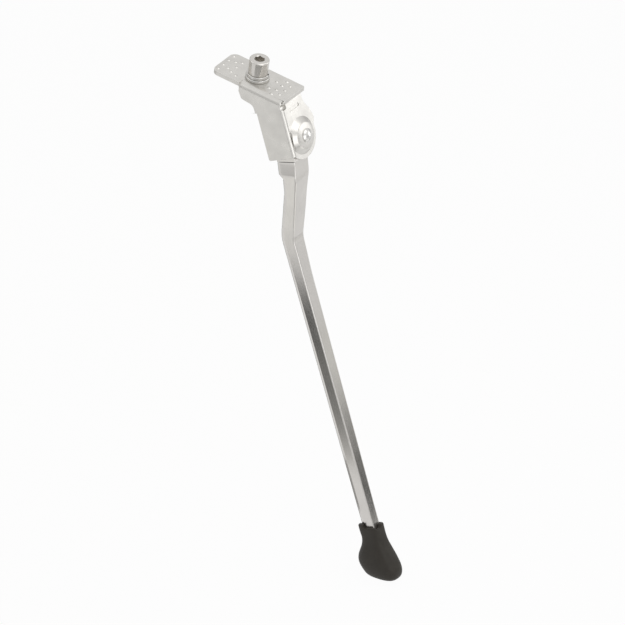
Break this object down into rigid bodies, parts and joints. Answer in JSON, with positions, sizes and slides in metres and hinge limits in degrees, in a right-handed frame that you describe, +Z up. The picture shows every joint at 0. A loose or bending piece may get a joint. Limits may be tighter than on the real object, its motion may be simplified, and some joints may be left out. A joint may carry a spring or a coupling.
{
  "type": "bicycle kickstand",
  "caption": "Side kickstand for a bicycle: folded steel clamping plate and housing, bent tapered leg on an inclined pivot, over-centre spring and rubber foot.",
  "frame": {"origin": "the clamping bolt's axis on the top face of the clamping plate", "axes": "+Z up along the bolt, +X outboard to the side where the leg stands out, +Y to the rear of the bicycle, with the leg down in its parked position"},
  "size_m": [0.1813, 0.0327, 0.3319],
  "materials": {
    "pressed_steel": "satin zinc plating",
    "bolt_steel": "bright zinc plating",
    "washer_steel": "bright zinc plating",
    "rivet_steel": "bright zinc plating",
    "inner_steel": "oiled steel",
    "spring_steel": "drawn wire",
    "leg_aluminium": "polished",
    "foot_rubber": "matte"
  },
  "bodies": {
    "housing": {"housing": "pressed_steel", "weld_nut": "inner_steel", "clamp_bolt": "bolt_steel", "spring_washer": "washer_steel", "flat_washer": "washer_steel", "pivot_rivet_outboard": "rivet_steel", "pivot_rivet_inboard": "rivet_steel", "thrust_washer_outboard": "inner_steel", "thrust_washer_inboard": "inner_steel", "spring_anchor_pin": "inner_steel", "spring": "spring_steel"},
    "leg": {"leg": "leg_aluminium", "spring_leg_pin": "inner_steel", "foot": "foot_rubber"}
  },
  "joints": [
    {"name": "leg_swing", "type": "hinge", "parent": "housing", "child": "leg", "pos_m": [0.02814, 0, -0.03125], "axis": [0.9135, 0, 0.4067], "range_deg": [0, 90], "deforming": ["spring"]}
  ]
}
